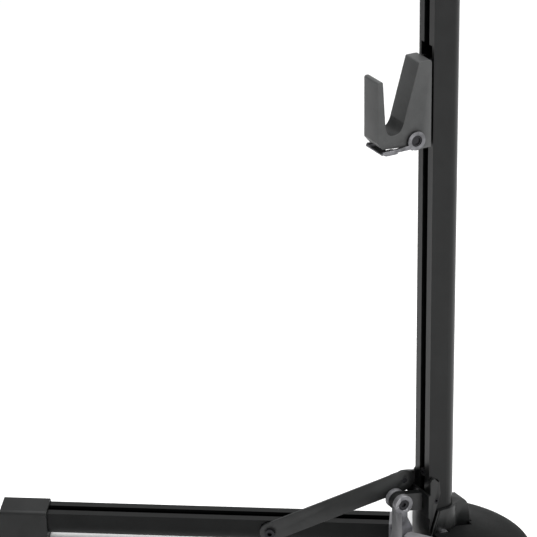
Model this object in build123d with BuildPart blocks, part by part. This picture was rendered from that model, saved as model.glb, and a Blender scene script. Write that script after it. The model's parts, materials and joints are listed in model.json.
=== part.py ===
from build123d import *

import os
from math import cos, radians, sin

# Folding floor stand: a slotted upright with a sliding J hook stands in a cast socket on a
# foot plate. The socket folds forward about a knuckle on a yoke that carries two splayed legs.
# Frame: origin on the floor under the middle of the column, +Z up, front is -Y, near is +X.

# ---- driving dimensions (mm) ----
COLUMN_WIDTH = 24.0  # slotted extrusion: flat front, round back
COLUMN_DEPTH = 30.0
COLUMN_FOOT = 20.0  # height of the column's lower end
COLUMN_LENGTH = 580.0
LEG_WIDTH = 24.0
LEG_DEPTH = 24.0
LEG_SPLAY = 33.2  # degrees of each leg from straight ahead
LEG_START = 42.0  # distance from the column's axis to the leg's root
LEG_LENGTH = 343.0
LEG_LIFT = 10.0  # underside of the leg above the floor
SLOT_WIDTH = 8.4
SLOT_LIP = 2.6
CHANNEL_WIDTH = 17.6
COLUMN_CHANNEL = 9.0  # depth of the T channel behind the lips
LEG_CHANNEL = 7.0
WALL = 2.6
WEB = 2.2
PAD_HEIGHT = 3.0  # rubber pads under the feet, the yoke and the foot plate

HINGE_Y = -39.0
HINGE_Z = 63.0
KNUCKLE_RADIUS = 9.0
KNUCKLE_THICKNESS = 5.0
TONGUE_WIDTH = 7.0
HINGE_PIN_RADIUS = 3.0
BUSH_RADIUS = 4.5
STAY_HEAD_Y = -27.5  # upper pivot of the stay
STAY_HEAD_Z = 76.5
STAY_HEAD_RADIUS = 10.0
STAY_THICKNESS = 2.8
STAY_WIDTH = 18.4
STAY_PIN_RADIUS = 2.5
STAY_FOOT_REACH = 150.0  # along the far leg, from the column's axis
STAY_FOOT_Z = 23.0

SOCKET_WALL = 3.2
SOCKET_FRONT = 2.0
SOCKET_BASE = 8.0  # top of the foot plate
SOCKET_TOP = 51.0
BLOCK_BASE = 14.0
BLOCK_TOP = 69.0
CHEEK_TOP = 85.0
PLATE_RADIUS = 101.0  # rear rim of the foot plate
PLATE_CENTRE_Y = -15.0
PLATE_FRONT_Y = 31.0  # where the wings of the plate start
PLATE_RIM = 6.0  # height of the rim's upper edge
PLATE_CROWN = 31.0  # height of the dome in the middle
PLATE_SKIN = 3.0

HOOK_WIDTH = 22.6
PIN_Y = -32.0
PIN_Z = 413.0  # height of the hook's cross pin
PIN_RADIUS = 5.0
ARM_HEIGHT = 58.5  # tip of the front arm above the pin
REAR_HEIGHT = 68.5  # tip of the rear arm above the pin
LEVER_THICKNESS = 2.0
SLIDER_LENGTH = 48.0
SLIDER_DROP = 8.0  # lower end of the slider below the pin
HOOK_GAP = 1.6  # hook body in front of the column

# ---- clearances ----
FIT = 0.1  # pieces that are pushed together
SLIDE_GAP = 0.3  # pieces that slide past each other
RUN_GAP = 0.05  # radial, shafts in bores
SCREW_GAP = 0.1  # radial, screws in holes

# ---- derived places ----
COLUMN_FRONT = -COLUMN_DEPTH / 2
COLUMN_BACK_Y = COLUMN_DEPTH / 2 - COLUMN_WIDTH / 2  # centre of the column's round back
COLUMN_TOP = COLUMN_FOOT + COLUMN_LENGTH
LEG_TOP = LEG_LIFT + LEG_DEPTH
LEG_MID = LEG_LIFT + LEG_DEPTH / 2
LEG_END = LEG_START + LEG_LENGTH
TONGUE_HALF = TONGUE_WIDTH / 2
KNUCKLE_IN = TONGUE_HALF + SLIDE_GAP
KNUCKLE_OUT = KNUCKLE_IN + KNUCKLE_THICKNESS
STAY_NEAR_X = -KNUCKLE_OUT - 0.4  # face of the stay's head towards the tongue
SOCKET_FRONT_Y = COLUMN_FRONT - SOCKET_FRONT
HOOK_BACK = COLUMN_FRONT - HOOK_GAP
LEVER_IN = HOOK_WIDTH / 2 + SLIDE_GAP
LEVER_OUT = LEVER_IN + LEVER_THICKNESS


def d_outline(width, depth, grow=0.0):
    """Flat-fronted, round-backed outline with its flat side towards local +Y."""
    back = width / 2 - depth / 2
    front = depth / 2 + grow
    with BuildSketch() as outline:
        with Locations((0, back)):
            Circle(width / 2 + grow)
        with Locations((0, (back + front) / 2)):
            Rectangle(width + 2 * grow, front - back)
    return outline.sketch


def pocket_outline(width, depth, channel, shrink=0.0):
    """Closed hollow behind the T channel's web."""
    back = width / 2 - depth / 2
    floor = depth / 2 - SLOT_LIP - channel - WEB - shrink
    with BuildSketch() as outline:
        with Locations((0, back)):
            Circle(width / 2 - WALL - shrink)
        with Locations((0, floor + width)):
            Rectangle(2 * width, 2 * width, mode=Mode.SUBTRACT)
    return outline.sketch


def rail_section(width, depth, channel):
    """Slotted extrusion: outline less the slot, the T channel and the closed hollow."""
    outline = d_outline(width, depth)
    pocket = pocket_outline(width, depth, channel)
    lip = depth / 2 - SLOT_LIP
    with BuildSketch() as section:
        add(outline)
        add(pocket, mode=Mode.SUBTRACT)
        with Locations((0, depth / 2)):
            Rectangle(SLOT_WIDTH, 2 * SLOT_LIP, mode=Mode.SUBTRACT)
        with Locations((0, lip - channel / 2)):
            Rectangle(CHANNEL_WIDTH, channel, mode=Mode.SUBTRACT)
    return section.sketch


def column_plane(height):
    """Level plane whose local +Y is the front of the stand."""
    return Plane(origin=(0, 0, height), x_dir=(-1, 0, 0), z_dir=(0, 0, 1))


def leg_direction(side):
    return Vector(side * sin(radians(LEG_SPLAY)), -cos(radians(LEG_SPLAY)), 0)


def leg_plane(side, reach):
    """Plane across a leg at a distance from the column's axis, local +Y up."""
    along = leg_direction(side)
    across = Vector(0, 0, 1).cross(along)
    return Plane(origin=along * reach + Vector(0, 0, LEG_MID), x_dir=across, z_dir=along)


def inner_plane(offset):
    """Upright plane along the far leg, offset from its middle towards the near side."""
    along = leg_direction(-1)
    inward = along.cross(Vector(0, 0, -1))
    return Plane(origin=inward * offset, x_dir=along, z_dir=-inward)


def side_plane(x):
    """Upright fore-and-aft plane: local +X is +Y, local +Y is up."""
    return Plane.YZ.offset(x)


COLUMN_RAIL = rail_section(COLUMN_WIDTH, COLUMN_DEPTH, COLUMN_CHANNEL)
COLUMN_SKIN = d_outline(COLUMN_WIDTH, COLUMN_DEPTH)
COLUMN_POCKET_PLUG = pocket_outline(COLUMN_WIDTH, COLUMN_DEPTH, COLUMN_CHANNEL, FIT)
LEG_RAIL = rail_section(LEG_WIDTH, LEG_DEPTH, LEG_CHANNEL)
LEG_SKIN = d_outline(LEG_WIDTH, LEG_DEPTH)
LEG_SEAT = d_outline(LEG_WIDTH, LEG_DEPTH, FIT)
LEG_POCKET_PLUG = pocket_outline(LEG_WIDTH, LEG_DEPTH, LEG_CHANNEL, FIT)

os.makedirs("parts", exist_ok=True)

# ---- column ----
SOCKET_SCREW_RADIUS = 2.5
SOCKET_SCREWS = [(-2.0, 27.0)]  # (y, z) on both sides of the collar
BLOCK_SCREWS = [(-8.5, 62.0)]  # (y, z) on both sides of the front block
SLOT_SCREW_Z = 86.5
SLOT_SCREW_RADIUS = 2.0
SLOT_HEAD_RADIUS = 3.9
WINDOW_START = PIN_Z + REAR_HEIGHT
WINDOW_LENGTH = 12.0  # opening in the lips, to put the slider in

with BuildPart() as column:
    with BuildSketch(column_plane(COLUMN_FOOT)):
        add(COLUMN_RAIL)
    extrude(amount=COLUMN_LENGTH)
    with BuildSketch(side_plane(0)):
        with Locations(*SOCKET_SCREWS, *BLOCK_SCREWS):
            Circle(SOCKET_SCREW_RADIUS + SCREW_GAP)
    extrude(amount=COLUMN_WIDTH, both=True, mode=Mode.SUBTRACT)
    with BuildSketch(Plane.XY.offset(WINDOW_START)):
        with Locations((0, COLUMN_FRONT)):
            Rectangle(CHANNEL_WIDTH, 2 * SLOT_LIP)
    extrude(amount=WINDOW_LENGTH, mode=Mode.SUBTRACT)
    with BuildSketch(Plane.XZ.offset(-COLUMN_FRONT)):
        with Locations((0, SLOT_SCREW_Z)):
            Circle(SLOT_SCREW_RADIUS + SCREW_GAP)
    extrude(amount=-COLUMN_DEPTH / 2 - 1.0, mode=Mode.SUBTRACT)
column.part.label = "column"
export_step(column.part, "parts/column.step")

# ---- screw in the column's front slot, just above the hinge block ----
SLOT_HEAD_DEPTH = 2.8
SLOT_HEX = 1.6
SLOT_SCREW_TIP = 0.0
with BuildPart() as slot_screw:
    with BuildSketch(Plane.XZ.offset(-COLUMN_FRONT - 0.4)):
        with Locations((0, SLOT_SCREW_Z)):
            Circle(SLOT_HEAD_RADIUS)
            RegularPolygon(SLOT_HEX, 6, mode=Mode.SUBTRACT)
    extrude(amount=-SLOT_HEAD_DEPTH)
    with BuildSketch(Plane.XZ.offset(-COLUMN_FRONT - SLOT_HEAD_DEPTH)):
        with Locations((0, SLOT_SCREW_Z)):
            Circle(SLOT_SCREW_RADIUS)
    extrude(amount=COLUMN_FRONT + SLOT_HEAD_DEPTH - SLOT_SCREW_TIP)
slot_screw.part.label = "slot_screw"
export_step(slot_screw.part, "parts/slot_screw.step")

# ---- top cap ----
CAP_RIM = 0.6
CAP_HEIGHT = 7.0
CAP_PLUG = 12.0
with BuildPart() as column_cap:
    with BuildSketch(column_plane(COLUMN_TOP)):
        add(COLUMN_SKIN)
        offset(amount=CAP_RIM)
    extrude(amount=CAP_HEIGHT)
    fillet(column_cap.faces().sort_by(Axis.Z)[-1].edges(), radius=2.2)
    with BuildSketch(column_plane(COLUMN_TOP)):
        add(COLUMN_POCKET_PLUG)
    extrude(amount=-CAP_PLUG)
column_cap.part.label = "column_cap"
export_step(column_cap.part, "parts/column_cap.step")

# ---- column socket: cast collar round the column's back, with a rear rib ----
TONGUE_EYE = 8.6
EAR_RADIUS = 8.3
RIB_HALF = 9.5
FIN_HALF = 4.0
RIB_TOP = 51.0
RIB_REAR = 36.0
RIB_TIP = 25.5
BLOCK_GAP = 3.2  # slanted gap between the front block and the collar
RIDGE_HEIGHT = 0.8
STEP_Z = 46.0  # the front block's lower part is set back below this
STEP_DEPTH = 1.4
SCREW_HEAD_RADIUS = 4.6
SOCKET_SIDE = COLUMN_WIDTH / 2 + SOCKET_WALL
SLANT_LOW = (COLUMN_FRONT - FIT, 35.0)  # (y, z) of the block's slanted rear edge
SLANT_HIGH = (-4.6, BLOCK_TOP)
PLATE_SCREWS = [(-10.5, -8.0), (10.5, -8.0), (0.0, 34.0)]
PLATE_SCREW_RADIUS = 2.0
slant = (SLANT_HIGH[0] - SLANT_LOW[0]) / (SLANT_HIGH[1] - SLANT_LOW[1])


def slanted_y(z, behind):
    """Y of a line parallel to the block's rear edge, some way behind it."""
    return SLANT_LOW[0] + (z - SLANT_LOW[1]) * slant + behind


COLLAR_FRONT = COLUMN_FRONT + SLIDE_GAP
with BuildPart() as column_socket:
    with BuildSketch(Plane.XY.offset(SOCKET_BASE)):
        with Locations((0, COLUMN_BACK_Y)):
            Circle(SOCKET_SIDE)
        with Locations((0, (COLLAR_FRONT + COLUMN_BACK_Y) / 2)):
            Rectangle(2 * SOCKET_SIDE, COLUMN_BACK_Y - COLLAR_FRONT)
    extrude(amount=SOCKET_TOP - SOCKET_BASE)
    for ridge_side in (-1, 1):
        with BuildSketch(side_plane(ridge_side * (SOCKET_SIDE - 1))):
            Polygon(
                (slanted_y(SOCKET_TOP, BLOCK_GAP + 1.6), SOCKET_TOP),
                (slanted_y(SOCKET_TOP, BLOCK_GAP + 3.4), SOCKET_TOP),
                (slanted_y(30.0, BLOCK_GAP + 3.4), 30.0),
                (slanted_y(30.0, BLOCK_GAP + 1.6), 30.0),
                align=None,
            )
        extrude(amount=ridge_side * (1 + RIDGE_HEIGHT))
    with BuildSketch(side_plane(0)):
        Polygon(
            (2 * COLUMN_FRONT, slanted_y(0, 0)),
            (2 * COLUMN_FRONT, SOCKET_TOP + 1),
            (slanted_y(SOCKET_TOP + 1, BLOCK_GAP), SOCKET_TOP + 1),
            (COLLAR_FRONT, SLANT_LOW[1] + (COLLAR_FRONT - SLANT_LOW[0] - BLOCK_GAP) / slant),
            (COLLAR_FRONT, slanted_y(0, 0)),
            align=None,
        )
    extrude(amount=2 * SOCKET_SIDE, both=True, mode=Mode.SUBTRACT)
    with BuildSketch(side_plane(0)):
        Polygon((14.0, SOCKET_BASE), (14.0, RIB_TOP), (RIB_TIP, RIB_TOP), (16.5, 34.0),
                (16.5, SOCKET_BASE), align=None)
    extrude(amount=RIB_HALF, both=True)
    with BuildSketch(side_plane(0)):
        with BuildLine():
            Polyline((14.0, SOCKET_BASE), (14.0, RIB_TOP), (RIB_TIP, RIB_TOP))
            ThreePointArc((RIB_TIP, RIB_TOP), (30.0, 46.5), (32.6, 39.0))
            Polyline((32.6, 39.0), (RIB_REAR, SOCKET_BASE), (14.0, SOCKET_BASE))
        make_face()
    extrude(amount=FIN_HALF, both=True)
    with BuildSketch(column_plane(COLUMN_FOOT)):
        add(COLUMN_SKIN)
        offset(amount=FIT)
    extrude(amount=COLUMN_LENGTH, mode=Mode.SUBTRACT)
    with BuildSketch(side_plane(0)):
        with Locations(*SOCKET_SCREWS):
            Circle(SOCKET_SCREW_RADIUS + SCREW_GAP)
    extrude(amount=2 * SOCKET_SIDE, both=True, mode=Mode.SUBTRACT)
    with BuildSketch(Plane.XY.offset(SOCKET_BASE)):
        with Locations(*PLATE_SCREWS):
            Circle(PLATE_SCREW_RADIUS + SCREW_GAP)
    extrude(amount=9.0, mode=Mode.SUBTRACT)
column_socket.part.label = "column_socket"
export_step(column_socket.part, "parts/column_socket.step")

# ---- hinge block: front wall and cheeks, tongue for the fold, ear for the stay ----
with BuildPart() as hinge_block:
    with BuildSketch(side_plane(0)):
        with BuildLine():
            Polyline((SLANT_HIGH[0], BLOCK_TOP), SLANT_LOW, (COLUMN_FRONT - FIT, BLOCK_BASE),
                     (SOCKET_FRONT_Y + STEP_DEPTH, BLOCK_BASE),
                     (SOCKET_FRONT_Y + STEP_DEPTH, STEP_Z), (SOCKET_FRONT_Y, STEP_Z),
                     (SOCKET_FRONT_Y, BLOCK_TOP), (COLUMN_FRONT - FIT, BLOCK_TOP),
                     (COLUMN_FRONT - FIT, CHEEK_TOP - 3.0))
            Spline((COLUMN_FRONT - FIT, CHEEK_TOP - 3.0), (-11.5, CHEEK_TOP), (-7.5, CHEEK_TOP - 4.0),
                   (SLANT_HIGH[0], BLOCK_TOP), tangents=((0.4, 1), (0.1, -1)))
        make_face()
    extrude(amount=SOCKET_SIDE, both=True)
    with BuildSketch(side_plane(0)):
        with BuildLine():
            Polyline(
                (HINGE_Y, HINGE_Z - TONGUE_EYE),
                (SOCKET_FRONT_Y + 1, 50.0),
                (SOCKET_FRONT_Y + 1, BLOCK_TOP - 2),
                (HINGE_Y, HINGE_Z + TONGUE_EYE),
                close=True,
            )
        make_face()
        with Locations((HINGE_Y, HINGE_Z)):
            Circle(TONGUE_EYE)
    extrude(amount=TONGUE_HALF, both=True)
    with BuildSketch(side_plane(-SOCKET_SIDE)):
        with Locations((STAY_HEAD_Y, STAY_HEAD_Z)):
            Circle(EAR_RADIUS)
        Polygon(
            (STAY_HEAD_Y, STAY_HEAD_Z + EAR_RADIUS),
            (STAY_HEAD_Y, STAY_HEAD_Z - EAR_RADIUS),
            (SOCKET_FRONT_Y + 1, 58.0),
            (COLUMN_FRONT + 1, 58.0),
            (COLUMN_FRONT + 1, CHEEK_TOP - 3),
            (SOCKET_FRONT_Y - 4, STAY_HEAD_Z + EAR_RADIUS - 1),
            align=None,
        )
    extrude(amount=SOCKET_SIDE + STAY_NEAR_X - STAY_THICKNESS - SLIDE_GAP)
    with BuildSketch(column_plane(0)):
        add(COLUMN_SKIN)
        offset(amount=FIT)
    extrude(amount=COLUMN_LENGTH, mode=Mode.SUBTRACT)
    with BuildSketch(side_plane(0)):
        with Locations((HINGE_Y, HINGE_Z)):
            Circle(BUSH_RADIUS)
        with Locations((STAY_HEAD_Y, STAY_HEAD_Z)):
            Circle(STAY_PIN_RADIUS)
        with Locations(*BLOCK_SCREWS):
            Circle(SOCKET_SCREW_RADIUS + SCREW_GAP)
    extrude(amount=2 * SOCKET_SIDE, both=True, mode=Mode.SUBTRACT)
hinge_block.part.label = "hinge_block"
export_step(hinge_block.part, "parts/hinge_block.step")

# ---- screws that hold the column in its socket ----
SCREW_REACH = COLUMN_WIDTH / 2 - WALL - 2.0
HEAD_HEIGHT = 3.0
HEX_RADIUS = 2.3
with BuildPart() as socket_screws:
    for screw_side in (-1, 1):
        with BuildSketch(side_plane(screw_side * SCREW_REACH)):
            with Locations(*SOCKET_SCREWS):
                Circle(SOCKET_SCREW_RADIUS)
        extrude(amount=screw_side * (SOCKET_SIDE - SCREW_REACH))
        with BuildSketch(side_plane(screw_side * SOCKET_SIDE)):
            with Locations(*SOCKET_SCREWS):
                Circle(SCREW_HEAD_RADIUS)
                RegularPolygon(HEX_RADIUS, 6, mode=Mode.SUBTRACT)
        extrude(amount=screw_side * HEAD_HEIGHT)
socket_screws.part.label = "socket_screws"
export_step(socket_screws.part, "parts/socket_screws.step")

with BuildPart() as block_screws:
    for screw_side in (-1, 1):
        with BuildSketch(side_plane(screw_side * SCREW_REACH)):
            with Locations(*BLOCK_SCREWS):
                Circle(SOCKET_SCREW_RADIUS)
        extrude(amount=screw_side * (SOCKET_SIDE - 0.6 - SCREW_REACH))
        with BuildSketch(side_plane(screw_side * (SOCKET_SIDE - 0.6))):
            with Locations(*BLOCK_SCREWS):
                RegularPolygon(1.4, 6)
        extrude(amount=-screw_side * 2.0, mode=Mode.SUBTRACT)
block_screws.part.label = "block_screws"
export_step(block_screws.part, "parts/block_screws.step")

# ---- bush pressed into the tongue's eye ----
with BuildPart() as hinge_bush:
    with BuildSketch(side_plane(-TONGUE_HALF)):
        with Locations((HINGE_Y, HINGE_Z)):
            Circle(BUSH_RADIUS)
            Circle(HINGE_PIN_RADIUS + RUN_GAP, mode=Mode.SUBTRACT)
    extrude(amount=TONGUE_WIDTH)
hinge_bush.part.label = "hinge_bush"
export_step(hinge_bush.part, "parts/hinge_bush.step")

# ---- foot plate: domed rear sector, hollow underneath, with its screws and pads ----
PLATE_HEIGHT = SOCKET_BASE - PAD_HEIGHT
PLATE_HALF = (PLATE_RADIUS**2 - (PLATE_FRONT_Y - PLATE_CENTRE_Y) ** 2) ** 0.5
NECK_HALF = SOCKET_SIDE + 6.0
NECK_FRONT = SOCKET_FRONT_Y + 5.0
DOME = [(20.0, 30.0), (45.0, 26.0), (62.0, 20.8), (80.0, 14.2)]  # (radius, height)
PLATE_AXIS = Plane(origin=(0, PLATE_CENTRE_Y, 0), x_dir=(1, 0, 0), z_dir=(0, -1, 0))
HUB_RADIUS = 27.0  # solid middle of the plate round the collar
SCREW_ROOM = 0.9  # round the heads of the collar's screws
RIB_ROOM = 32.0  # the plate is open beside the rib as far back as this
RIB_SLOT = 1.6  # gap between the rib's flank and the plate
PLATE_HEAD_RADIUS = 3.8
PLATE_HEAD_HEIGHT = 2.2
with BuildPart() as foot_plate:
    with BuildSketch(PLATE_AXIS):
        with BuildLine():
            Polyline((0, PLATE_CROWN), (0, PAD_HEIGHT), (PLATE_RADIUS, PAD_HEIGHT),
                     (PLATE_RADIUS, PLATE_RIM))
            Spline((PLATE_RADIUS, PLATE_RIM), *reversed(DOME), (0, PLATE_CROWN),
                   tangents=((-1, 0.6), (-1, 0)))
        make_face()
    revolve(axis=Axis((0, PLATE_CENTRE_Y, 0), (0, 0, 1)))
    with BuildSketch(Plane.XY):
        with BuildLine():
            Polyline((-PLATE_HALF, PLATE_FRONT_Y), (-NECK_HALF, NECK_FRONT),
                     (NECK_HALF, NECK_FRONT), (PLATE_HALF, PLATE_FRONT_Y))
            ThreePointArc((PLATE_HALF, PLATE_FRONT_Y), (0, PLATE_CENTRE_Y + 1.2 * PLATE_RADIUS),
                          (-PLATE_HALF, PLATE_FRONT_Y))
        make_face()
    extrude(amount=2 * PLATE_CROWN, mode=Mode.INTERSECT)
    with BuildSketch(PLATE_AXIS):
        with BuildLine():
            Polyline((0, PLATE_CROWN - PLATE_SKIN), (0, 0), (PLATE_RADIUS - 6, 0),
                     (PLATE_RADIUS - 6, PLATE_RIM - 1.4))
            Spline((PLATE_RADIUS - 6, PLATE_RIM - 1.4),
                   *[(r, h - PLATE_SKIN) for r, h in reversed(DOME)],
                   (0, PLATE_CROWN - PLATE_SKIN), tangents=((-1, 0.6), (-1, 0)))
        make_face()
    hollow = revolve(axis=Axis((0, PLATE_CENTRE_Y, 0), (0, 0, 1)), mode=Mode.PRIVATE)
    with BuildSketch(Plane.XY):
        with BuildLine():
            Polyline((-PLATE_HALF, PLATE_FRONT_Y), (-NECK_HALF, NECK_FRONT),
                     (NECK_HALF, NECK_FRONT), (PLATE_HALF, PLATE_FRONT_Y))
            ThreePointArc((PLATE_HALF, PLATE_FRONT_Y), (0, PLATE_CENTRE_Y + 1.2 * PLATE_RADIUS),
                          (-PLATE_HALF, PLATE_FRONT_Y))
        make_face()
        offset(amount=-PLATE_SKIN, mode=Mode.REPLACE)
        with Locations((0, 14.0)):
            Circle(HUB_RADIUS + 4.0, mode=Mode.SUBTRACT)
        for pad_x, pad_y in [(-62.0, 41.0), (62.0, 41.0), (0.0, 72.0)]:
            with Locations((pad_x, pad_y)):
                Circle(9.0, mode=Mode.SUBTRACT)
    room = extrude(amount=2 * PLATE_CROWN, mode=Mode.PRIVATE)
    add(hollow & room, mode=Mode.SUBTRACT)
    with BuildSketch(Plane.XY.offset(SOCKET_BASE)):
        with Locations((0, COLUMN_BACK_Y)):
            Circle(SOCKET_SIDE + SLIDE_GAP)
        with Locations((0, (2 * COLUMN_FRONT + COLUMN_BACK_Y) / 2)):
            Rectangle(2 * (SOCKET_SIDE + RIDGE_HEIGHT + SLIDE_GAP), COLUMN_BACK_Y - 2 * COLUMN_FRONT)
        with Locations((0, RIB_ROOM / 2)):
            Rectangle(2 * (RIB_HALF + RIB_SLOT), RIB_ROOM)
        with Locations((0, (RIB_REAR + SLIDE_GAP) / 2)):
            Rectangle(2 * (FIN_HALF + SLIDE_GAP), RIB_REAR + SLIDE_GAP)
    extrude(amount=2 * PLATE_CROWN, mode=Mode.SUBTRACT)
    with BuildSketch(side_plane(0)):
        for screw_y, screw_z in SOCKET_SCREWS:
            with Locations((screw_y, screw_z)):
                Circle(SCREW_HEAD_RADIUS + SCREW_ROOM)
            with Locations((screw_y, screw_z + PLATE_CROWN / 2)):
                Rectangle(2 * (SCREW_HEAD_RADIUS + SCREW_ROOM), PLATE_CROWN)
    extrude(amount=SOCKET_SIDE + HEAD_HEIGHT + SCREW_ROOM, both=True, mode=Mode.SUBTRACT)
    with BuildSketch(Plane.XY):
        with Locations(*PLATE_SCREWS):
            Circle(PLATE_SCREW_RADIUS + SCREW_GAP)
    extrude(amount=SOCKET_BASE + 1, mode=Mode.SUBTRACT)
    with BuildSketch(Plane.XY.offset(PAD_HEIGHT)):
        with Locations(*PLATE_SCREWS):
            Circle(PLATE_HEAD_RADIUS + SCREW_GAP)
    extrude(amount=PLATE_HEAD_HEIGHT + SCREW_GAP, mode=Mode.SUBTRACT)
foot_plate.part.label = "foot_plate"
export_step(foot_plate.part, "parts/foot_plate.step")

with BuildPart() as plate_screws:
    with BuildSketch(Plane.XY.offset(PAD_HEIGHT + SCREW_GAP)):
        with Locations(*PLATE_SCREWS):
            Circle(PLATE_HEAD_RADIUS)
    extrude(amount=PLATE_HEAD_HEIGHT - SCREW_GAP)
    with BuildSketch(Plane.XY.offset(PAD_HEIGHT + PLATE_HEAD_HEIGHT)):
        with Locations(*PLATE_SCREWS):
            Circle(PLATE_SCREW_RADIUS)
    extrude(amount=PLATE_HEIGHT - PLATE_HEAD_HEIGHT + 3.0)
plate_screws.part.label = "plate_screws"
export_step(plate_screws.part, "parts/plate_screws.step")

PLATE_PADS = [(-62.0, 41.0), (62.0, 41.0), (0.0, 72.0), (0.0, 0.0)]
PLATE_PAD_RADIUS = 7.0
with BuildPart() as plate_pads:
    with BuildSketch():
        with Locations(*PLATE_PADS):
            Circle(PLATE_PAD_RADIUS)
    extrude(amount=PAD_HEIGHT)
    chamfer(plate_pads.faces().filter_by(Plane.XY).group_by(Axis.Z)[0].edges(), length=0.8)
plate_pads.part.label = "plate_pads"
export_step(plate_pads.part, "parts/plate_pads.step")

# ---- leg yoke: knuckles, upright, hub and spigots in one casting ----
STUB_START = 31.0
SPIGOT_LENGTH = 28.0
UPRIGHT_FRONT = HINGE_Y - 2.2
UPRIGHT_BACK = HINGE_Y + 3.8
HUB_HALF = 13.0
HUB_BACK = -28.0
YOKE_PAD_Y = -36.0
YOKE_PAD_RADIUS = 11.0
RECESS_RADIUS = 5.2
RECESS_DEPTH = 2.5
LEG_BOLT_REACH = LEG_START + 14.0
LEG_BOLT_RADIUS = 2.0

with BuildPart() as leg_yoke:
    with BuildSketch(side_plane(0)):
        with BuildLine():
            Polyline(
                (UPRIGHT_FRONT, HINGE_Z),
                (UPRIGHT_FRONT, 30.0),
                (UPRIGHT_FRONT - 2, LEG_LIFT),
                (HUB_BACK, LEG_LIFT),
                (HUB_BACK, 27.0),
                (HUB_BACK - 1.5, 38.0),
                (HUB_BACK - 5.0, 45.5),
                (UPRIGHT_BACK, 50.0),
                (UPRIGHT_BACK, HINGE_Z),
                close=True,
            )
        make_face()
        with Locations((HINGE_Y, HINGE_Z)):
            Circle(KNUCKLE_RADIUS)
    extrude(amount=KNUCKLE_OUT, both=True)
    with BuildSketch(Plane.XY.offset(LEG_LIFT)):
        with Locations((0, (UPRIGHT_FRONT + HUB_BACK) / 2)):
            Rectangle(2 * HUB_HALF, HUB_BACK - UPRIGHT_FRONT)
    extrude(amount=LEG_DEPTH - 4.0)
    with BuildSketch(Plane.XY.offset(PAD_HEIGHT)):
        with Locations((0, YOKE_PAD_Y)):
            Circle(YOKE_PAD_RADIUS + 1)
    extrude(amount=LEG_LIFT - PAD_HEIGHT + 4)
    for side in (-1, 1):
        with BuildSketch(leg_plane(side, STUB_START)):
            add(LEG_SKIN)
        extrude(amount=LEG_START - STUB_START)
        with BuildSketch(leg_plane(side, LEG_START)):
            add(LEG_POCKET_PLUG)
        extrude(amount=SPIGOT_LENGTH)
        with BuildSketch(Plane.XY.offset(LEG_LIFT)):
            with Locations(leg_direction(side) * LEG_BOLT_REACH):
                Circle(LEG_BOLT_RADIUS + SCREW_GAP)
        extrude(amount=LEG_DEPTH, mode=Mode.SUBTRACT)
        with BuildSketch(side_plane(side * KNUCKLE_OUT)):
            with Locations((HINGE_Y, HINGE_Z)):
                Circle(RECESS_RADIUS)
        extrude(amount=-side * RECESS_DEPTH, mode=Mode.SUBTRACT)
    with BuildSketch(side_plane(0)):
        with Locations((HINGE_Y, HINGE_Z)):
            Circle(KNUCKLE_RADIUS + 1)
        with Locations((HINGE_Y + 10, HINGE_Z)):
            Rectangle(20.0, 2 * KNUCKLE_RADIUS + 2)
    extrude(amount=KNUCKLE_IN, both=True, mode=Mode.SUBTRACT)
    with BuildSketch(side_plane(0)):
        with Locations((HINGE_Y, HINGE_Z)):
            Circle(HINGE_PIN_RADIUS + RUN_GAP)
    extrude(amount=KNUCKLE_OUT, both=True, mode=Mode.SUBTRACT)
leg_yoke.part.label = "leg_yoke"
export_step(leg_yoke.part, "parts/leg_yoke.step")

with BuildPart() as yoke_pad:
    with BuildSketch():
        with Locations((0, YOKE_PAD_Y)):
            Circle(YOKE_PAD_RADIUS)
    extrude(amount=PAD_HEIGHT)
    chamfer(yoke_pad.faces().sort_by(Axis.Z)[0].edges(), length=0.8)
yoke_pad.part.label = "yoke_pad"
export_step(yoke_pad.part, "parts/yoke_pad.step")

# ---- hinge bolt and nut ----
with BuildPart() as hinge_bolt:
    with BuildSketch(side_plane(-KNUCKLE_OUT + 0.4)):
        with Locations((HINGE_Y, HINGE_Z)):
            Circle(HINGE_PIN_RADIUS)
    extrude(amount=2 * KNUCKLE_OUT - RECESS_DEPTH - 0.4)
    with BuildSketch(side_plane(KNUCKLE_OUT - RECESS_DEPTH)):
        with Locations((HINGE_Y, HINGE_Z)):
            Circle(RECESS_RADIUS - SLIDE_GAP)
    extrude(amount=RECESS_DEPTH - 0.4)
    with BuildSketch(side_plane(KNUCKLE_OUT - 0.4)):
        with Locations((HINGE_Y, HINGE_Z)):
            RegularPolygon(HEX_RADIUS, 6)
    extrude(amount=-1.6, mode=Mode.SUBTRACT)
hinge_bolt.part.label = "hinge_bolt"
export_step(hinge_bolt.part, "parts/hinge_bolt.step")

with BuildPart() as hinge_nut:
    with BuildSketch(side_plane(-KNUCKLE_OUT + RECESS_DEPTH)):
        with Locations((HINGE_Y, HINGE_Z)):
            RegularPolygon(RECESS_RADIUS - SLIDE_GAP, 6)
            Circle(HINGE_PIN_RADIUS, mode=Mode.SUBTRACT)
    extrude(amount=-RECESS_DEPTH + 0.2)
hinge_nut.part.label = "hinge_nut"
export_step(hinge_nut.part, "parts/hinge_nut.step")

# ---- legs, end caps, pads and root screws ----
CAP_START = LEG_END - 30.0
CAP_WALL = 3.0
CAP_TOP_REACH = LEG_END + 13.0
CAP_FOOT_REACH = LEG_END + 19.0
CAP_HALF = LEG_WIDTH / 2 + CAP_WALL
FOOT_PAD_LENGTH = 34.0
KEYHOLE_RISE = 3.6
KEYHOLE_RUN = 5.0


def cap_side_plane(side):
    """Upright plane through the middle of a leg, local +X along it, local +Y up."""
    along = leg_direction(side)
    return Plane(origin=(0, 0, 0), x_dir=along, z_dir=along.cross(Vector(0, 0, 1)))


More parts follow.
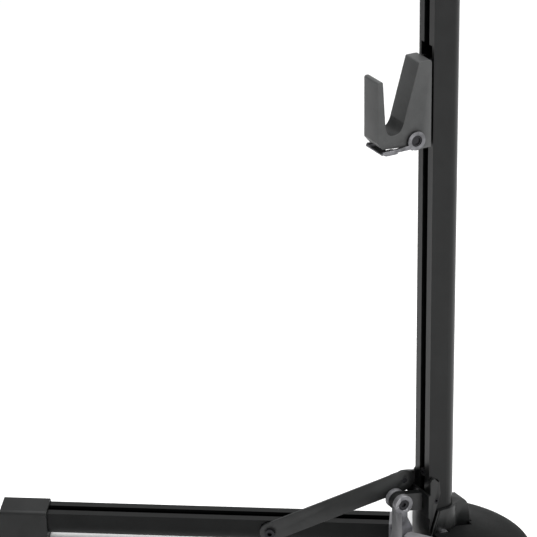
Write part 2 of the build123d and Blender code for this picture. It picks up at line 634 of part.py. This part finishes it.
for side, name in ((-1, "far"), (1, "near")):
    with BuildPart() as leg:
        with BuildSketch(leg_plane(side, LEG_START)):
            add(LEG_RAIL)
        extrude(amount=LEG_LENGTH)
        with BuildSketch(Plane.XY.offset(LEG_LIFT)):
            with Locations(leg_direction(side) * LEG_BOLT_REACH):
                Circle(LEG_BOLT_RADIUS + SCREW_GAP)
        extrude(amount=LEG_DEPTH / 2, mode=Mode.SUBTRACT)
        if side < 0:
            with BuildSketch(inner_plane(LEG_WIDTH / 2 + 1)):
                with Locations((STAY_FOOT_REACH + KEYHOLE_RUN / 2,
                                STAY_FOOT_Z + KEYHOLE_RISE / 2)):
                    Rectangle(2 * HINGE_PIN_RADIUS + 2 * SLIDE_GAP + KEYHOLE_RUN,
                              2 * HINGE_PIN_RADIUS + 2 * SLIDE_GAP + KEYHOLE_RISE)
            extrude(amount=WALL + 1, mode=Mode.SUBTRACT)
    leg.part.label = f"{name}_leg"
    export_step(leg.part, f"parts/{name}_leg.step")

    with BuildPart() as foot:
        with BuildSketch(cap_side_plane(side)):
            Polygon((CAP_START, PAD_HEIGHT), (CAP_FOOT_REACH, PAD_HEIGHT),
                    (CAP_TOP_REACH, LEG_TOP + CAP_WALL), (CAP_START, LEG_TOP + CAP_WALL),
                    align=None)
        extrude(amount=CAP_HALF, both=True)
        top = foot.faces().sort_by(Axis.Z)[-1]
        fillet(top.edges().filter_by(lambda e: e.length > 2 * CAP_HALF + 1), radius=4.0)
        with BuildSketch(leg_plane(side, CAP_START)):
            add(LEG_SEAT)
        extrude(amount=LEG_END + FIT - CAP_START, mode=Mode.SUBTRACT)
    foot.part.label = f"{name}_foot"
    export_step(foot.part, f"parts/{name}_foot.step")

    with BuildPart() as foot_pad:
        with BuildSketch(Plane(origin=(0, 0, 0), x_dir=leg_direction(side), z_dir=(0, 0, 1))):
            with Locations(((CAP_START + CAP_FOOT_REACH) / 2 - 2, 0)):
                RectangleRounded(FOOT_PAD_LENGTH, 2 * CAP_HALF - 6, 4.0)
        extrude(amount=PAD_HEIGHT)
    foot_pad.part.label = f"{name}_foot_pad"
    export_step(foot_pad.part, f"parts/{name}_foot_pad.step")

with BuildPart() as leg_screws:
    for side in (-1, 1):
        with BuildSketch(Plane.XY.offset(LEG_LIFT - 1.8)):
            with Locations(leg_direction(side) * LEG_BOLT_REACH):
                Circle(3.6)
        extrude(amount=1.8)
        with BuildSketch(Plane.XY.offset(LEG_LIFT)):
            with Locations(leg_direction(side) * LEG_BOLT_REACH):
                Circle(LEG_BOLT_RADIUS)
        extrude(amount=9.0)
leg_screws.part.label = "leg_screws"
export_step(leg_screws.part, "parts/leg_screws.step")

# ---- stay: flat bar along the far leg, bent so that its head lies beside the tongue ----
STAY_INNER = LEG_WIDTH / 2 + SLIDE_GAP
STAY_SLOPE = 0.472  # rise per length of the bar's middle line
STAY_FAR_X = STAY_NEAR_X - STAY_THICKNESS
splay_sin = sin(radians(LEG_SPLAY))
splay_cos = cos(radians(LEG_SPLAY))
BEND_REACH = ((STAY_INNER + STAY_THICKNESS) * splay_cos - STAY_NEAR_X) / splay_sin
BEND_Y = -BEND_REACH * splay_cos - (STAY_INNER + STAY_THICKNESS) * splay_sin
BEND_Z = STAY_FOOT_Z + STAY_SLOPE * (STAY_FOOT_REACH - BEND_REACH)
BAR_HALF_RISE = STAY_WIDTH / 2 * (1 + STAY_SLOPE**2) ** 0.5
BAR_HALF = STAY_WIDTH / 2
lean_sin = STAY_SLOPE / (1 + STAY_SLOPE**2) ** 0.5
lean_cos = 1 / (1 + STAY_SLOPE**2) ** 0.5

with BuildPart() as stay:
    with BuildSketch(inner_plane(STAY_INNER)):
        with Locations((STAY_FOOT_REACH, STAY_FOOT_Z)):
            Circle(BAR_HALF)
        Polygon(
            (STAY_FOOT_REACH + BAR_HALF * lean_sin, STAY_FOOT_Z + BAR_HALF * lean_cos),
            (STAY_FOOT_REACH - BAR_HALF * lean_sin, STAY_FOOT_Z - BAR_HALF * lean_cos),
            (BEND_REACH, BEND_Z - BAR_HALF_RISE),
            (BEND_REACH, BEND_Z + BAR_HALF_RISE),
            align=None,
        )
    extrude(amount=-STAY_THICKNESS)
    with BuildSketch(side_plane(STAY_FAR_X)):
        with Locations((STAY_HEAD_Y, STAY_HEAD_Z)):
            Circle(STAY_HEAD_RADIUS)
        Polygon(
            (BEND_Y, BEND_Z - BAR_HALF_RISE),
            (STAY_HEAD_Y, STAY_HEAD_Z - STAY_HEAD_RADIUS),
            (STAY_HEAD_Y, STAY_HEAD_Z + STAY_HEAD_RADIUS),
            (BEND_Y, BEND_Z + BAR_HALF_RISE),
            align=None,
        )
    extrude(amount=STAY_THICKNESS)
    with BuildSketch(side_plane(STAY_FAR_X)):
        with Locations((STAY_HEAD_Y, STAY_HEAD_Z)):
            Circle(STAY_PIN_RADIUS + RUN_GAP)
    extrude(amount=STAY_THICKNESS, mode=Mode.SUBTRACT)
    with BuildSketch(inner_plane(STAY_INNER)):
        with Locations((STAY_FOOT_REACH, STAY_FOOT_Z)):
            Circle(HINGE_PIN_RADIUS)
    extrude(amount=-STAY_THICKNESS, mode=Mode.SUBTRACT)
stay.part.label = "stay"
export_step(stay.part, "parts/stay.step")

with BuildPart() as stay_foot_bolt:
    with BuildSketch(inner_plane(LEG_WIDTH / 2 - WALL + 0.2)):
        with Locations((STAY_FOOT_REACH, STAY_FOOT_Z)):
            Circle(HINGE_PIN_RADIUS)
    extrude(amount=-(WALL - 0.2 + SLIDE_GAP + STAY_THICKNESS))
    with BuildSketch(inner_plane(STAY_INNER + STAY_THICKNESS)):
        with Locations((STAY_FOOT_REACH, STAY_FOOT_Z)):
            Circle(SCREW_HEAD_RADIUS)
            RegularPolygon(HEX_RADIUS, 6, mode=Mode.SUBTRACT)
    extrude(amount=-HEAD_HEIGHT)
stay_foot_bolt.part.label = "stay_foot_bolt"
export_step(stay_foot_bolt.part, "parts/stay_foot_bolt.step")

with BuildPart() as stay_head_bolt:
    with BuildSketch(side_plane(-SOCKET_SIDE)):
        with Locations((STAY_HEAD_Y, STAY_HEAD_Z)):
            Circle(STAY_PIN_RADIUS)
    extrude(amount=SOCKET_SIDE + STAY_NEAR_X - 0.2)
    with BuildSketch(side_plane(-SOCKET_SIDE)):
        with Locations((STAY_HEAD_Y, STAY_HEAD_Z)):
            Circle(SCREW_HEAD_RADIUS)
    extrude(amount=-2.4)
stay_head_bolt.part.label = "stay_head_bolt"
export_step(stay_head_bolt.part, "parts/stay_head_bolt.step")

# ---- hook body: J cradle with a leaning rear arm ----
ARM_OUTER_Y = -69.3
ARM_TIP_Y = -64.2  # inner edge of the front arm at its tip
THROAT_FRONT = -61.6
THROAT_Z = PIN_Z + 18.5
BOTTOM_Y = -53.0
BOTTOM_Z = PIN_Z + 8.2  # lowest point of the throat
THROAT_BACK = -43.4
REAR_LEAN_Y = -28.9
LUG_DROP = 8.8
CAVITY_HALF = 4.3
CAVITY_TOP = PIN_Z + 8.3
CAVITY_FRONT = PIN_Y - 8.4

with BuildPart() as hook_body:
    with BuildSketch(side_plane(0)):
        with BuildLine():
            Line((ARM_TIP_Y, PIN_Z + ARM_HEIGHT), (THROAT_FRONT, THROAT_Z))
            Spline((THROAT_FRONT, THROAT_Z), (BOTTOM_Y, BOTTOM_Z), (THROAT_BACK, THROAT_Z),
                   tangents=((0.06, -1), (0.26, 1)))
            Polyline(
                (THROAT_BACK, THROAT_Z),
                (REAR_LEAN_Y, PIN_Z + REAR_HEIGHT + 1.0),
                (HOOK_BACK - 1.0, PIN_Z + REAR_HEIGHT + 1.0),
                (HOOK_BACK, PIN_Z + REAR_HEIGHT - 1.0),
                (HOOK_BACK, PIN_Z - LUG_DROP),
                (PIN_Y - 3.5, PIN_Z - LUG_DROP),
                (PIN_Y - 8.0, PIN_Z - 4.6),
                (ARM_OUTER_Y + 5.0, PIN_Z - 2.4),
                (ARM_OUTER_Y, PIN_Z + 3.6),
                (ARM_OUTER_Y, PIN_Z + ARM_HEIGHT),
                (ARM_TIP_Y, PIN_Z + ARM_HEIGHT),
            )
        make_face()
    extrude(amount=HOOK_WIDTH / 2, both=True)
    fillet(hook_body.edges().filter_by(Axis.X).group_by(Axis.Z)[-1], radius=1.8)
    arm_tip = hook_body.edges().filter_by(Axis.X).filter_by_position(
        Axis.Z, PIN_Z + ARM_HEIGHT - 1, PIN_Z + ARM_HEIGHT + 1)
    fillet(arm_tip, radius=2.0)
    bottom_edges = hook_body.edges().filter_by(Axis.X).filter_by_position(
        Axis.Y, ARM_OUTER_Y - 1, ARM_OUTER_Y + 6).filter_by_position(
        Axis.Z, PIN_Z - 3, PIN_Z + 4)
    fillet(bottom_edges, radius=2.0)
    with BuildSketch(side_plane(0)):
        with BuildLine():
            Polyline((CAVITY_FRONT, PIN_Z - 2 * LUG_DROP), (CAVITY_FRONT, PIN_Z + 3.5),
                     (CAVITY_FRONT + 3.5, CAVITY_TOP), (HOOK_BACK, CAVITY_TOP),
                     (HOOK_BACK, PIN_Z - 2 * LUG_DROP), close=True)
        make_face()
    extrude(amount=CAVITY_HALF, both=True, mode=Mode.SUBTRACT)
    with BuildSketch(side_plane(0)):
        with Locations((PIN_Y, PIN_Z)):
            Circle(PIN_RADIUS)
    extrude(amount=HOOK_WIDTH, both=True, mode=Mode.SUBTRACT)
hook_body.part.label = "hook_body"
export_step(hook_body.part, "parts/hook_body.step")

# ---- hook pin, the draw bolt and the slider in the column ----
PIN_HALF = LEVER_OUT - 0.5
PIN_RECESS = 1.0
with BuildPart() as hook_pin:
    with BuildSketch(side_plane(-PIN_HALF)):
        with Locations((PIN_Y, PIN_Z)):
            Circle(PIN_RADIUS)
    extrude(amount=2 * PIN_HALF)
    for side in (-1, 1):
        with BuildSketch(side_plane(side * PIN_HALF)):
            with Locations((PIN_Y, PIN_Z)):
                Circle(PIN_RADIUS - 1.4)
        extrude(amount=-side * PIN_RECESS, mode=Mode.SUBTRACT)
hook_pin.part.label = "hook_pin"
export_step(hook_pin.part, "parts/hook_pin.step")

DRAW_RADIUS = 3.0
EYE_RADIUS = 7.4
SLIDER_HALF = CHANNEL_WIDTH / 2 - SLIDE_GAP
SLIDER_FRONT = COLUMN_FRONT + SLOT_LIP + SLIDE_GAP
SLIDER_DEPTH = COLUMN_CHANNEL - 2 * SLIDE_GAP
with BuildPart() as draw_bolt:
    with BuildSketch(side_plane(0)):
        with Locations((PIN_Y, PIN_Z)):
            Circle(EYE_RADIUS)
    extrude(amount=CAVITY_HALF - SLIDE_GAP, both=True)
    with BuildSketch(Plane.XZ.offset(-SLIDER_FRONT - SLIDER_DEPTH)):
        with Locations((0, PIN_Z)):
            Circle(DRAW_RADIUS)
    extrude(amount=SLIDER_FRONT + SLIDER_DEPTH - PIN_Y - EYE_RADIUS / 2)
    with BuildSketch(side_plane(0)):
        with Locations((PIN_Y, PIN_Z)):
            Circle(PIN_RADIUS)
    extrude(amount=HOOK_WIDTH, both=True, mode=Mode.SUBTRACT)
draw_bolt.part.label = "draw_bolt"
export_step(draw_bolt.part, "parts/draw_bolt.step")

with BuildPart() as hook_slider:
    with BuildSketch(Plane.XY.offset(PIN_Z - SLIDER_DROP)):
        with Locations((0, SLIDER_FRONT + SLIDER_DEPTH / 2)):
            Rectangle(2 * SLIDER_HALF, SLIDER_DEPTH)
        with Locations((0, (HOOK_BACK + SLIDER_FRONT) / 2)):
            Rectangle(SLOT_WIDTH - 2 * SLIDE_GAP, SLIDER_FRONT - HOOK_BACK)
    extrude(amount=SLIDER_LENGTH)
    with BuildSketch(Plane.XZ.offset(-COLUMN_DEPTH)):
        with Locations((0, PIN_Z)):
            Circle(DRAW_RADIUS)
    extrude(amount=2 * COLUMN_DEPTH, mode=Mode.SUBTRACT)
hook_slider.part.label = "hook_slider"
export_step(hook_slider.part, "parts/hook_slider.step")

# ---- lock lever: U of sheet metal around the hook, closed against its underside ----
RING_RADIUS = 8.4
TAB_THICKNESS = 1.4
LEVER_TIP_Y = ARM_OUTER_Y + 3.0
BRIDGE_TOP = PIN_Z - 5.2
BRIDGE_THICKNESS = 1.6
BRIDGE_DEPTH = 8.0
with BuildPart() as lock_lever:
    for side in (-1, 1):
        with BuildSketch(side_plane(side * LEVER_IN)):
            with Locations((PIN_Y, PIN_Z)):
                Circle(RING_RADIUS)
            Polygon(
                (PIN_Y - 4.0, PIN_Z - 6.6),
                (PIN_Y - 7.4, PIN_Z - 2.6),
                (LEVER_TIP_Y + 16, BRIDGE_TOP + 1.4),
                (LEVER_TIP_Y + 1, BRIDGE_TOP + 1.2),
                (LEVER_TIP_Y, BRIDGE_TOP - BRIDGE_THICKNESS),
                (LEVER_TIP_Y + 14, BRIDGE_TOP - BRIDGE_THICKNESS),
                align=None,
            )
            with Locations((PIN_Y, PIN_Z)):
                Circle(PIN_RADIUS + RUN_GAP, mode=Mode.SUBTRACT)
        extrude(amount=side * LEVER_THICKNESS)
    with BuildSketch(side_plane(0)):
        Polygon(
            (LEVER_TIP_Y, BRIDGE_TOP - BRIDGE_THICKNESS),
            (LEVER_TIP_Y, BRIDGE_TOP - 0.6),
            (LEVER_TIP_Y + 1, BRIDGE_TOP),
            (LEVER_TIP_Y + BRIDGE_DEPTH, BRIDGE_TOP),
            (LEVER_TIP_Y + BRIDGE_DEPTH, BRIDGE_TOP - BRIDGE_THICKNESS),
            align=None,
        )
    extrude(amount=LEVER_OUT, both=True)
    with BuildSketch(Plane.XY.offset(BRIDGE_TOP - BRIDGE_THICKNESS - TAB_THICKNESS)):
        with Locations((LEVER_OUT - 5, LEVER_TIP_Y + BRIDGE_DEPTH + 2)):
            RectangleRounded(10.0, 13.0, 2.0)
    extrude(amount=TAB_THICKNESS)
lock_lever.part.label = "lock_lever"
export_step(lock_lever.part, "parts/lock_lever.step")
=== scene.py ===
import json
import math

import bpy
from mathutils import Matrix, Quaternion, Vector


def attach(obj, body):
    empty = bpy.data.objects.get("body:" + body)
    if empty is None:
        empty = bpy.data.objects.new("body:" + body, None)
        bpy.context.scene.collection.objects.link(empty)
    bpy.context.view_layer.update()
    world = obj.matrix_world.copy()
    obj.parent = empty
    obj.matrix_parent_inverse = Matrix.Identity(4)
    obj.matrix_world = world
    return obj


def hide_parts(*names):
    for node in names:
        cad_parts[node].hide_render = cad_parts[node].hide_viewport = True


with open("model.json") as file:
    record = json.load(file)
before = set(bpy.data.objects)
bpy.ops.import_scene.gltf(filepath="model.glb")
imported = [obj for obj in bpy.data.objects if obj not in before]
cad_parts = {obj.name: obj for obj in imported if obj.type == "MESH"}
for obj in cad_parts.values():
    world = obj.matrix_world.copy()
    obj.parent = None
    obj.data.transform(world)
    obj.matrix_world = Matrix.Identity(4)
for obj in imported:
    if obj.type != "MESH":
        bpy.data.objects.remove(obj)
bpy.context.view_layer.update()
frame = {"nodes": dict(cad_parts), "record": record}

MM = 0.001
NODES = frame["nodes"]
SUBPARTS = {part["node"]: part for part in frame["record"]["subparts"]}


# ---------------------------------------------------------------- small helpers
def linear(hex_colour):
    """sRGB hex to the linear colour that a shader socket takes."""
    channels = [int(hex_colour[i:i + 2], 16) / 255 for i in (1, 3, 5)]
    red, green, blue = (c / 12.92 if c <= 0.04045 else ((c + 0.055) / 1.055) ** 2.4
                        for c in channels)
    return red, green, blue, 1.0


def add_node(tree, kind, settings=None, **links):
    """Adds one node, sets its properties and sockets, and links the sockets given as outputs."""
    node = tree.nodes.new(kind)
    for key, value in (settings or {}).items():
        if isinstance(key, str) and hasattr(node, key):
            setattr(node, key, value)
        else:
            node.inputs[key].default_value = value
    for key, output in links.items():
        tree.links.new(output, node.inputs[key.replace("_", " ")])
    return node


def new_material(name):
    """Empty Principled material: its tree, its shader and its object coordinates."""
    material = bpy.data.materials.new(name)
    material.use_nodes = True
    tree = material.node_tree
    shader = tree.nodes["Principled BSDF"]
    place = tree.nodes.new("ShaderNodeTexCoord").outputs["Object"]
    return material, tree, shader, place


def tint(tree, factor, dark, light, low=0.35, high=0.65):
    """Colour ramp between two hex colours."""
    ramp = add_node(tree, "ShaderNodeValToRGB", Fac=factor)
    ramp.color_ramp.elements[0].position = low
    ramp.color_ramp.elements[1].position = high
    ramp.color_ramp.elements[0].color = linear(dark)
    ramp.color_ramp.elements[1].color = linear(light)
    return ramp.outputs["Color"]


def spread(tree, factor, low, high):
    """Maps a pattern from 0..1 to low..high, for roughness."""
    return add_node(tree, "ShaderNodeMapRange", {"To Min": low, "To Max": high},
                    Value=factor).outputs["Result"]


def noise(tree, place, size_mm, detail=3.0, stretch=(1.0, 1.0, 1.0)):
    """Noise with a grain of size_mm, drawn out along an axis by stretch."""
    mapping = add_node(tree, "ShaderNodeMapping", {"Scale": stretch}, Vector=place)
    return add_node(tree, "ShaderNodeTexNoise", {"Scale": 1 / (size_mm * MM), "Detail": detail},
                    Vector=mapping.outputs["Vector"]).outputs["Fac"]


# Sockets of a Mix node set to colour, which share their names with its other kinds.
MIX_FACTOR, MIX_COLOUR_A, MIX_COLOUR_B, MIX_COLOUR_OUT = 0, 6, 7, 2
# Pointiness is 0.5 on a flat face and more on a convex edge.
WEAR_START, WEAR_FULL = 0.505, 0.56
WEAR_STRENGTH = 0.6


def edge_wear(tree, strength):
    """Bright on convex edges, for metal or plastic rubbed by handling."""
    point = tree.nodes.new("ShaderNodeNewGeometry").outputs["Pointiness"]
    ramp = add_node(tree, "ShaderNodeValToRGB", Fac=point)
    ramp.color_ramp.elements[0].position = WEAR_START
    ramp.color_ramp.elements[1].position = WEAR_FULL
    return add_node(tree, "ShaderNodeMath", {"operation": "MULTIPLY", 1: strength},
                    Value=ramp.outputs["Color"]).outputs["Value"]


def rub(tree, colour, bare):
    """Lets a paler colour show through on the edges that hands and straps rub."""
    mix = add_node(tree, "ShaderNodeMix", {"data_type": "RGBA"})
    tree.links.new(edge_wear(tree, WEAR_STRENGTH), mix.inputs[MIX_FACTOR])
    tree.links.new(colour, mix.inputs[MIX_COLOUR_A])
    mix.inputs[MIX_COLOUR_B].default_value = linear(bare)
    return mix.outputs[MIX_COLOUR_OUT]


def bump(tree, shader, height, depth_mm, strength):
    """Turns a pattern into a fine relief of depth_mm."""
    node = add_node(tree, "ShaderNodeBump", {"Distance": depth_mm * MM, "Strength": strength},
                    Height=height)
    tree.links.new(node.outputs["Normal"], shader.inputs["Normal"])


# ---------------------------------------------------------------- materials
def anodised_rail():
    """Black anodised aluminium extrusion: fine die lines along the rail, satin, a soft grey sheen."""
    material, tree, shader, place = new_material("black_anodised_aluminium")
    lines = noise(tree, place, 1.6, 2.0, (1.0, 1.0, 0.02))
    cloud = noise(tree, place, 22.0, 2.0)
    colour = tint(tree, cloud, "#080909", "#0d0e0e")
    tree.links.new(colour, shader.inputs["Base Color"])
    tree.links.new(spread(tree, lines, 0.30, 0.42), shader.inputs["Roughness"])
    shader.inputs["Metallic"].default_value = 0.25
    shader.inputs["Specular IOR Level"].default_value = 0.27
    bump(tree, shader, lines, 0.02, 0.35)
    return material


def leg_anodising_with_painted_shade():
    """Same rail as the column, its die lines drawn out level, along both legs, with a painted shade:
    a darker black and a weaker sheen than the column's, so the legs read darker.
    """
    material, tree, shader, place = new_material("black_anodised_leg_painted_shade")
    lines = noise(tree, place, 0.9, 2.0, (0.06, 0.04, 1.0))
    cloud = noise(tree, place, 22.0, 2.0)
    # Painted shade: the column's black made a step darker, so the legs read darker than the column.
    tree.links.new(tint(tree, cloud, "#060707", "#0b0c0c"), shader.inputs["Base Color"])
    tree.links.new(spread(tree, lines, 0.30, 0.44), shader.inputs["Roughness"])
    shader.inputs["Metallic"].default_value = 0.25
    shader.inputs["Specular IOR Level"].default_value = 0.16
    bump(tree, shader, lines, 0.02, 0.3)
    return material


def moulded_plastic(name, dark, light, rough, gloss=0.4, grain_mm=0.7, depth_mm=0.03,
                    rubbed=None):
    """Spark-eroded moulding in black nylon: a fine even grain that breaks up the highlights.

    The grain is drawn coarser than the real one, which would be too fine to show.
    """
    material, tree, shader, place = new_material(name)
    grain = noise(tree, place, grain_mm, 4.0)
    cloud = noise(tree, place, 15.0, 2.0)
    colour = tint(tree, cloud, dark, light)
    if rubbed:
        colour = rub(tree, colour, rubbed)
    tree.links.new(colour, shader.inputs["Base Color"])
    tree.links.new(spread(tree, grain, rough - 0.06, rough + 0.08), shader.inputs["Roughness"])
    shader.inputs["IOR"].default_value = 1.5
    shader.inputs["Specular IOR Level"].default_value = gloss
    bump(tree, shader, grain, depth_mm, 0.5)
    return material


def powder_coat(name, dark, light, rough, gloss=0.4):
    """Powder coat, or the slider's matt anodising: a fine orange peel, a soft satin gloss."""
    material, tree, shader, place = new_material(name)
    peel = noise(tree, place, 1.6, 3.0)
    cloud = noise(tree, place, 18.0, 2.0)
    tree.links.new(tint(tree, cloud, dark, light), shader.inputs["Base Color"])
    tree.links.new(spread(tree, peel, rough - 0.05, rough + 0.07), shader.inputs["Roughness"])
    shader.inputs["IOR"].default_value = 1.5
    shader.inputs["Specular IOR Level"].default_value = gloss
    bump(tree, shader, peel, 0.05, 0.4)
    return material


def die_casting():
    """Painted die casting, worn to a dull grey on its rounded edges."""
    material, tree, shader, place = new_material("grey_die_casting")
    grain = noise(tree, place, 1.1, 4.0)
    cloud = noise(tree, place, 9.0, 3.0)
    base = tint(tree, cloud, "#3c3c3f", "#5c5c60")
    tree.links.new(rub(tree, base, "#9a9a9c"), shader.inputs["Base Color"])
    tree.links.new(spread(tree, grain, 0.34, 0.52), shader.inputs["Roughness"])
    shader.inputs["Metallic"].default_value = 0.5
    bump(tree, shader, grain, 0.06, 0.5)
    return material


def plated_steel(name, dark, light):
    """Plated sheet or screw steel, rolled: grey with faint streaks."""
    material, tree, shader, place = new_material(name)
    streaks = noise(tree, place, 0.8, 3.0, (1.0, 0.15, 1.0))
    cloud = noise(tree, place, 6.0, 2.0)
    tree.links.new(tint(tree, cloud, dark, light), shader.inputs["Base Color"])
    tree.links.new(spread(tree, streaks, 0.28, 0.44), shader.inputs["Roughness"])
    shader.inputs["Metallic"].default_value = 1.0
    bump(tree, shader, streaks, 0.02, 0.3)
    return material


def black_oxide():
    """Black-oxide screw steel: near black, oily satin."""
    material, tree, shader, place = new_material("black_oxide_steel")
    grain = noise(tree, place, 0.8, 3.0)
    tree.links.new(tint(tree, grain, "#1d1d1f", "#2b2b2e"), shader.inputs["Base Color"])
    tree.links.new(spread(tree, grain, 0.3, 0.45), shader.inputs["Roughness"])
    shader.inputs["Metallic"].default_value = 0.8
    bump(tree, shader, grain, 0.02, 0.3)
    return material


def bronze():
    """Sintered bronze: dull gold with open pores."""
    material, tree, shader, place = new_material("sintered_bronze")
    grain = noise(tree, place, 0.5, 4.0)
    tree.links.new(tint(tree, grain, "#7a5a30", "#9b7741"), shader.inputs["Base Color"])
    shader.inputs["Metallic"].default_value = 1.0
    shader.inputs["Roughness"].default_value = 0.5
    bump(tree, shader, grain, 0.04, 0.5)
    return material


def rubber(name, colour):
    """Moulded rubber: dead black, dusty."""
    material, tree, shader, place = new_material(name)
    grain = noise(tree, place, 0.6, 4.0)
    tree.links.new(tint(tree, grain, colour, "#1c1c1c"), shader.inputs["Base Color"])
    tree.links.new(spread(tree, grain, 0.72, 0.88), shader.inputs["Roughness"])
    shader.inputs["IOR"].default_value = 1.52
    bump(tree, shader, grain, 0.05, 0.5)
    return material


FINISH = {
    "black_anodised": anodised_rail(),
    "black_anodised_leg_painted_shade": leg_anodising_with_painted_shade(),
    "black_plastic": moulded_plastic("black_nylon", "#0e0e0f", "#141415", 0.5),
    "foot_plastic": moulded_plastic("black_nylon_foot", "#0d0e0e", "#131414", 0.56,
                                    gloss=0.3, grain_mm=0.9, depth_mm=0.05),
    "hook_plastic": moulded_plastic("satin_nylon_hook", "#171818", "#242525", 0.46,
                                    gloss=0.32, grain_mm=1.1, depth_mm=0.35,
                                    rubbed="#6a6b6b"),
    "cast_black": powder_coat("black_powder_coat_casting", "#0b0c0c", "#131414", 0.30, 0.36),
    "plate_paint": powder_coat("black_powder_coat_plate", "#070808", "#0d0e0e", 0.62, 0.1),
    "stay_paint": powder_coat("black_powder_coat_stay", "#141515", "#1c1d1d", 0.44, 0.4),
    "cast_grey": die_casting(),
    "pad_rubber": rubber("pad_rubber", "#131313"),
    "satin_steel": plated_steel("satin_nickel_sheet_steel", "#555557", "#707073"),
    "zinc_screw": plated_steel("zinc_plated_screw_steel", "#8e8e90", "#a9a9ab"),
    "black_screw": black_oxide(),
    "bronze": bronze(),
    "slider_metal": powder_coat("black_anodised_slider", "#0c0c0d", "#121213", 0.5),
}


def dress_frame():
    """Gives each CAD node the finish of its slot, and the legs their own, with level die lines and a
    painted shade that makes them darker than the column.
    """
    for name, part in SUBPARTS.items():
        finish = "black_anodised_leg_painted_shade" if name.endswith("_leg") else part["material_slot"]
        for material_slot in NODES[name].material_slots:
            material_slot.material = FINISH[finish]


# ---------------------------------------------------------------- eased pieces
# node: (radius of its moulded or broken edges in mm, sharpest angle left alone in degrees)
EASED = {
    "hook_body": (0.9, 28), "lock_lever": (0.35, 35), "leg_yoke": (0.8, 32),
    "hinge_block": (0.6, 32), "column_socket": (0.7, 32), "foot_plate": (0.9, 32),
    "stay": (0.4, 35), "far_foot": (1.0, 30), "near_foot": (1.0, 30),
}
WELD = 0.01 * MM  # corners nearer than this are one corner
FLAT_DEGREES = 0.4  # faces that meet within this angle are one face
EDGE_SEGMENTS = 3


def body_of(node):
    """The moving body that a node belongs to."""
    for body, names in frame["record"]["behaviour"]["bodies"].items():
        if node in names:
            return body
    raise KeyError(node)


def ease(node, radius_mm, angle):
    """Welded copy of a node whose sharp edges are rounded, as a mould or a tumbler leaves them."""
    source = NODES[node]
    piece = bpy.data.objects.new(node + "_eased", source.data.copy())
    bpy.context.scene.collection.objects.link(piece)
    bpy.ops.object.select_all(action="DESELECT")
    piece.select_set(True)
    bpy.context.view_layer.objects.active = piece
    bpy.ops.object.mode_set(mode="EDIT")
    bpy.ops.mesh.select_all(action="SELECT")
    bpy.ops.mesh.remove_doubles(threshold=WELD)
    bpy.ops.mesh.dissolve_limited(angle_limit=math.radians(FLAT_DEGREES))
    bpy.ops.object.mode_set(mode="OBJECT")
    bevel = piece.modifiers.new("eased_edges", "BEVEL")
    bevel.width = radius_mm * MM
    bevel.segments = EDGE_SEGMENTS
    bevel.limit_method = "ANGLE"
    bevel.angle_limit = math.radians(angle)
    bevel.use_clamp_overlap = True
    bevel.harden_normals = False
    bpy.ops.object.modifier_apply(modifier=bevel.name)
    bpy.ops.object.shade_smooth_by_angle(angle=math.radians(angle))
    piece.select_set(False)
    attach(piece, body_of(node))
    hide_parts(node)


# ---------------------------------------------------------------- studio
FLOOR_SIZE = 12.0
# Brightness of the surroundings: dim towards the front (-Y), bright towards the back.
WORLD_FROM, WORLD_TO = -0.9, 0.5
WORLD_DIM, WORLD_BRIGHT = 0.03, 0.8
CAMERA_PLACE = Vector((1.9582, -1.2126, 1.3016))
CAMERA_AIM = Vector((-0.1401, -0.0940, 0.2499))
CAMERA_ROLL = math.radians(-0.75)
CAMERA_LENS = 193.07
SENSOR_WIDTH = 36.0


def set_camera():
    """Long-lens camera in front of the stand and to its right, looking down on it."""
    data = bpy.data.cameras.new("camera")
    data.lens = CAMERA_LENS
    data.sensor_width = SENSOR_WIDTH
    camera = bpy.data.objects.new("camera", data)
    bpy.context.scene.collection.objects.link(camera)
    camera.location = CAMERA_PLACE
    aim = (CAMERA_AIM - CAMERA_PLACE).to_track_quat("-Z", "Y")
    camera.rotation_mode = "QUATERNION"
    camera.rotation_quaternion = aim @ Quaternion((0, 0, 1), CAMERA_ROLL)
    bpy.context.scene.camera = camera


def area_light(name, place, target, size, watts):
    """Soft rectangular light at place, turned to target."""
    data = bpy.data.lights.new(name, "AREA")
    data.shape = "RECTANGLE"
    data.size, data.size_y = size
    data.energy = watts
    light = bpy.data.objects.new(name, data)
    bpy.context.scene.collection.objects.link(light)
    light.location = place
    light.rotation_mode = "QUATERNION"
    light.rotation_quaternion = (Vector(target) - Vector(place)).to_track_quat("-Z", "Y")


def set_floor():
    """Plain pale floor of matt paper."""
    bpy.ops.mesh.primitive_plane_add(size=FLOOR_SIZE, location=(0, 0, 0))
    floor = bpy.context.object
    floor.name = "studio_floor"
    material, _, shader, _ = new_material("studio_floor")
    shader.inputs["Base Color"].default_value = linear("#f4f4f4")
    shader.inputs["Roughness"].default_value = 0.9
    floor.data.materials.append(material)


def set_studio():
    """Soft white surroundings with one tall side light and one wide light overhead."""
    world = bpy.data.worlds.new("studio")
    bpy.context.scene.world = world
    world.use_nodes = True
    background = world.node_tree.nodes["Background"]
    background.inputs["Color"].default_value = (1, 1, 1, 1)
    # A studio that is dimmer in front of the stand, so that faces turned that way read darker.
    tree = world.node_tree
    way = tree.nodes.new("ShaderNodeTexCoord").outputs["Generated"]
    split = add_node(tree, "ShaderNodeSeparateXYZ", Vector=way)
    level = add_node(tree, "ShaderNodeMapRange",
                     {"From Min": WORLD_FROM, "From Max": WORLD_TO,
                      "To Min": WORLD_DIM, "To Max": WORLD_BRIGHT},
                     Value=split.outputs["Y"])
    tree.links.new(level.outputs["Result"], background.inputs["Strength"])
    area_light("key", (2.0, 0.9, 1.2), (0, 0, 0.25), (0.5, 1.6), 26)
    area_light("top", (0.3, -0.3, 2.6), (0, -0.1, 0.1), (2.4, 2.4), 95)
    bpy.context.scene.view_settings.view_transform = "Standard"


bpy.ops.object.select_all(action="DESELECT")
set_camera()
set_floor()
set_studio()
dress_frame()
for eased_node, (eased_radius, eased_angle) in EASED.items():
    ease(eased_node, eased_radius, eased_angle)
